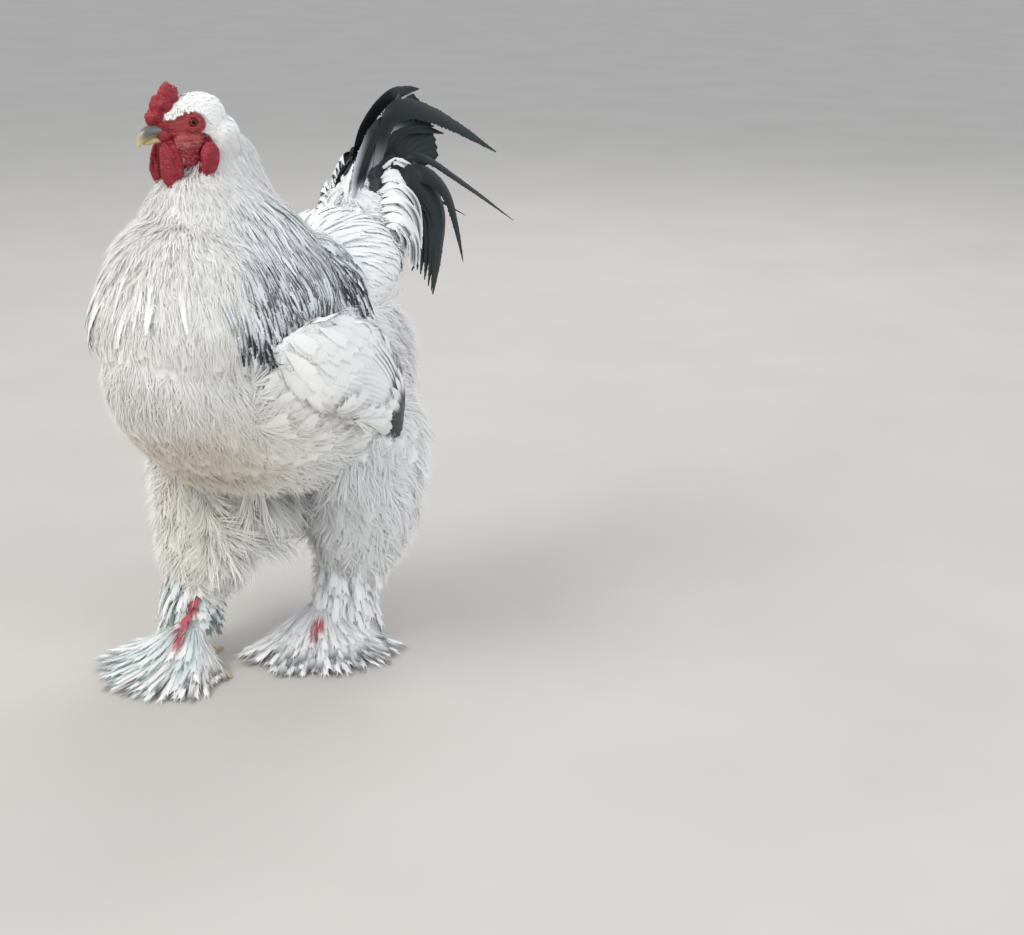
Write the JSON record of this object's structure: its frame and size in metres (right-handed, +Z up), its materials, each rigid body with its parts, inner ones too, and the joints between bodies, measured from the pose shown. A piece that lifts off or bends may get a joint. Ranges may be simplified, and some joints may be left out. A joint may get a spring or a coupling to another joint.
{
  "type": "brahma chicken cock, still life-size model",
  "caption": "Standing heavy feather-legged cock with a pea comb, laced hackle and curved black tail, as a still life-size model.",
  "frame": {"origin": "on the floor under the middle of the bird's bounding box", "axes": "+Z up, -Y the way the body faces, +X the bird's left"},
  "size_m": [0.3609, 0.7406, 0.7146],
  "materials": {
    "plumage": "matt soft feathers, white with black centres on the hackle",
    "tail_feathers": "glossy black feathers with a green sheen",
    "feathered_foot": "scaly toes under white feathers flecked black",
    "comb_skin": "warm red, finely pebbled skin",
    "horn": "horn, yellow with a dark ridge",
    "eye": "wet orange-brown eye with a dark pupil"
  },
  "bodies": {
    "root": {"beak_lower": "horn", "beak_upper": "horn", "claw_left_1": "horn", "claw_left_2": "horn", "claw_left_3": "horn", "claw_left_4": "horn", "claw_right_1": "horn", "claw_right_2": "horn", "claw_right_3": "horn", "claw_right_4": "horn", "comb": "comb_skin", "earlobe_left": "comb_skin", "earlobe_right": "comb_skin", "eye_left": "eye", "eye_right": "eye", "foot_left": "feathered_foot", "foot_right": "feathered_foot", "head": "plumage", "neck": "plumage", "shank_left": "plumage", "shank_right": "plumage", "tail": "tail_feathers", "thigh_left": "plumage", "thigh_right": "plumage", "torso": "plumage", "wattle_left": "comb_skin", "wattle_right": "comb_skin", "wing_left": "plumage", "wing_right": "plumage"}
  },
  "joints": []
}
